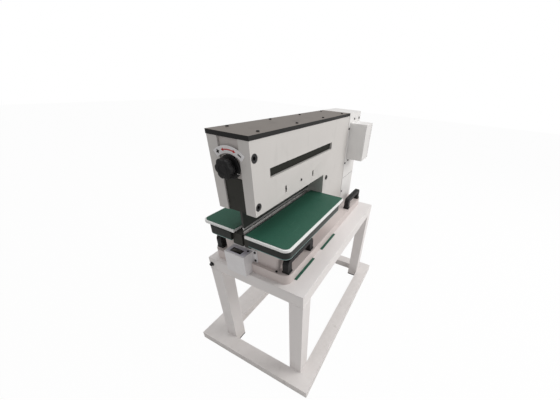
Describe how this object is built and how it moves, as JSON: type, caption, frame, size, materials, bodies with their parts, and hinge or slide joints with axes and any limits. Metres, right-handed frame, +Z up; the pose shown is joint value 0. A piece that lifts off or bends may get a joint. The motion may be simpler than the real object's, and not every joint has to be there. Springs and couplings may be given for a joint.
{
  "type": "pcb depaneling machine",
  "caption": "Bench machine on a stand that parts scored circuit boards between two straight knives, with a wedge-driven upper knife, two mat-topped tables and a depth knob",
  "frame": {"origin": "on the floor, under the centre of the floor frame", "axes": "+X along the knives towards the air cylinder, -Y towards the operator, +Z up"},
  "size_m": [1.01, 0.632, 1.072],
  "materials": {
    "white_enamel": "satin",
    "grey_enamel": "satin",
    "pale_cast": "satin",
    "sheet_white": "satin",
    "rubber_black": "matt",
    "rubber_green": "matt",
    "black_oxide": "satin",
    "top_satin": "satin",
    "dark_anodised": "satin",
    "dark_steel": "satin",
    "bright_steel": "ground",
    "bronze": "turned",
    "alloy": "satin",
    "moulded_black": "matt",
    "moulded_white": "matt",
    "display_grey": "matt",
    "window_dark": "gloss"
  },
  "bodies": {
    "machine": {"floor_side_rails": "white_enamel", "floor_cross_rails": "white_enamel", "stand_legs": "white_enamel", "stand_rails": "white_enamel", "stand_top_plate": "white_enamel", "leg_pads": "rubber_black", "earth_bolt": "black_oxide", "base_slab": "pale_cast", "pedestal": "pale_cast", "edge_strips": "rubber_green", "base_screws": "black_oxide", "front_handles": "moulded_black", "rear_handles": "moulded_black", "front_support": "dark_anodised", "rear_support": "dark_anodised", "front_tray": "white_enamel", "rear_tray": "white_enamel", "mats": "rubber_green", "lower_beam": "dark_steel", "lower_clamp": "dark_steel", "lower_knife": "bright_steel", "front_plate": "grey_enamel", "rear_plate": "grey_enamel", "top_plate": "top_satin", "plate_bolts": "black_oxide", "cover_screws": "black_oxide", "adjusting_screws": "dark_steel", "window_strip": "window_dark", "end_plate": "dark_steel", "knob_bracket": "grey_enamel", "knob_bush": "bronze", "scale_plate": "moulded_white", "wedge_rail": "bright_steel", "guide_keys": "bronze", "column_block": "grey_enamel", "spring_seats": "dark_steel", "return_springs": "bright_steel", "bulkhead": "sheet_white", "air_cylinder": "alloy", "right_cover": "sheet_white", "control_box": "sheet_white", "counter_box": "moulded_white", "counter_display": "display_grey", "power_inlet": "moulded_black"},
    "wedge": {"wedge_bar": "bright_steel", "piston_rod": "bright_steel"},
    "knife": {"knife_beam": "dark_steel", "roller_pins": "bright_steel", "upper_knife": "dark_steel", "knife_clamp": "black_oxide", "knife_screws": "black_oxide"},
    "left_roller": {"roller_left": "bright_steel"},
    "middle_roller": {"roller_middle": "bright_steel"},
    "right_roller": {"roller_right": "bright_steel"},
    "knob": {"depth_knob": "moulded_black", "knob_skirt": "moulded_black", "stop_screw": "bright_steel"},
    "nut": {"stop_nut": "bright_steel"},
    "button": {"reset_button": "moulded_black"},
    "rocker": {"rocker_switch": "moulded_black"}
  },
  "joints": [
    {"name": "wedge_slide", "type": "slide", "parent": "machine", "child": "wedge", "axis": [-1, 0, 0], "range_m": [0, 0.03]},
    {"name": "knife_slide", "type": "slide", "parent": "machine", "child": "knife", "axis": [0, 0, -1], "range_m": [0, 0.003], "stiffness_N_per_m": 15000, "springref_m": -0.02, "deforming": ["return_springs"]},
    {"name": "left_roller_turn", "type": "hinge", "parent": "knife", "child": "left_roller", "pos_m": [-0.35, -0.022, 0.9527], "axis": [0, -1, 0], "range_deg": [0, 158]},
    {"name": "middle_roller_turn", "type": "hinge", "parent": "knife", "child": "middle_roller", "pos_m": [-0.21, -0.022, 0.9527], "axis": [0, -1, 0], "range_deg": [0, 158]},
    {"name": "right_roller_turn", "type": "hinge", "parent": "knife", "child": "right_roller", "pos_m": [-0.07, -0.022, 0.9527], "axis": [0, -1, 0], "range_deg": [0, 158]},
    {"name": "knob_turn", "type": "hinge", "parent": "machine", "child": "knob", "pos_m": [-0.48, -0.022, 0.982], "axis": [1, 0, 0], "range_deg": [-40, 40]},
    {"name": "nut_slide", "type": "slide", "parent": "machine", "child": "nut", "axis": [1, 0, 0], "range_m": [-0.0012, 0.0012]},
    {"name": "reset_press", "type": "slide", "parent": "machine", "child": "button", "axis": [0, 0, -1], "range_m": [0, 0.002], "stiffness_N_per_m": 300, "springref_m": -0.002},
    {"name": "rocker_tilt", "type": "hinge", "parent": "machine", "child": "rocker", "pos_m": [0.358, 0.049, 0.704], "axis": [1, 0, 0], "range_deg": [-6, 6]}
  ],
  "couplings": [
    {"joint": "knife_slide", "follows": "wedge_slide", "ratio": 0.1},
    {"joint": "left_roller_turn", "follows": "wedge_slide", "rad_per_m": 90.909},
    {"joint": "middle_roller_turn", "follows": "wedge_slide", "rad_per_m": 90.909},
    {"joint": "right_roller_turn", "follows": "wedge_slide", "rad_per_m": 90.909},
    {"joint": "nut_slide", "follows": "knob_turn", "m_per_rad": 0.0015915}
  ]
}
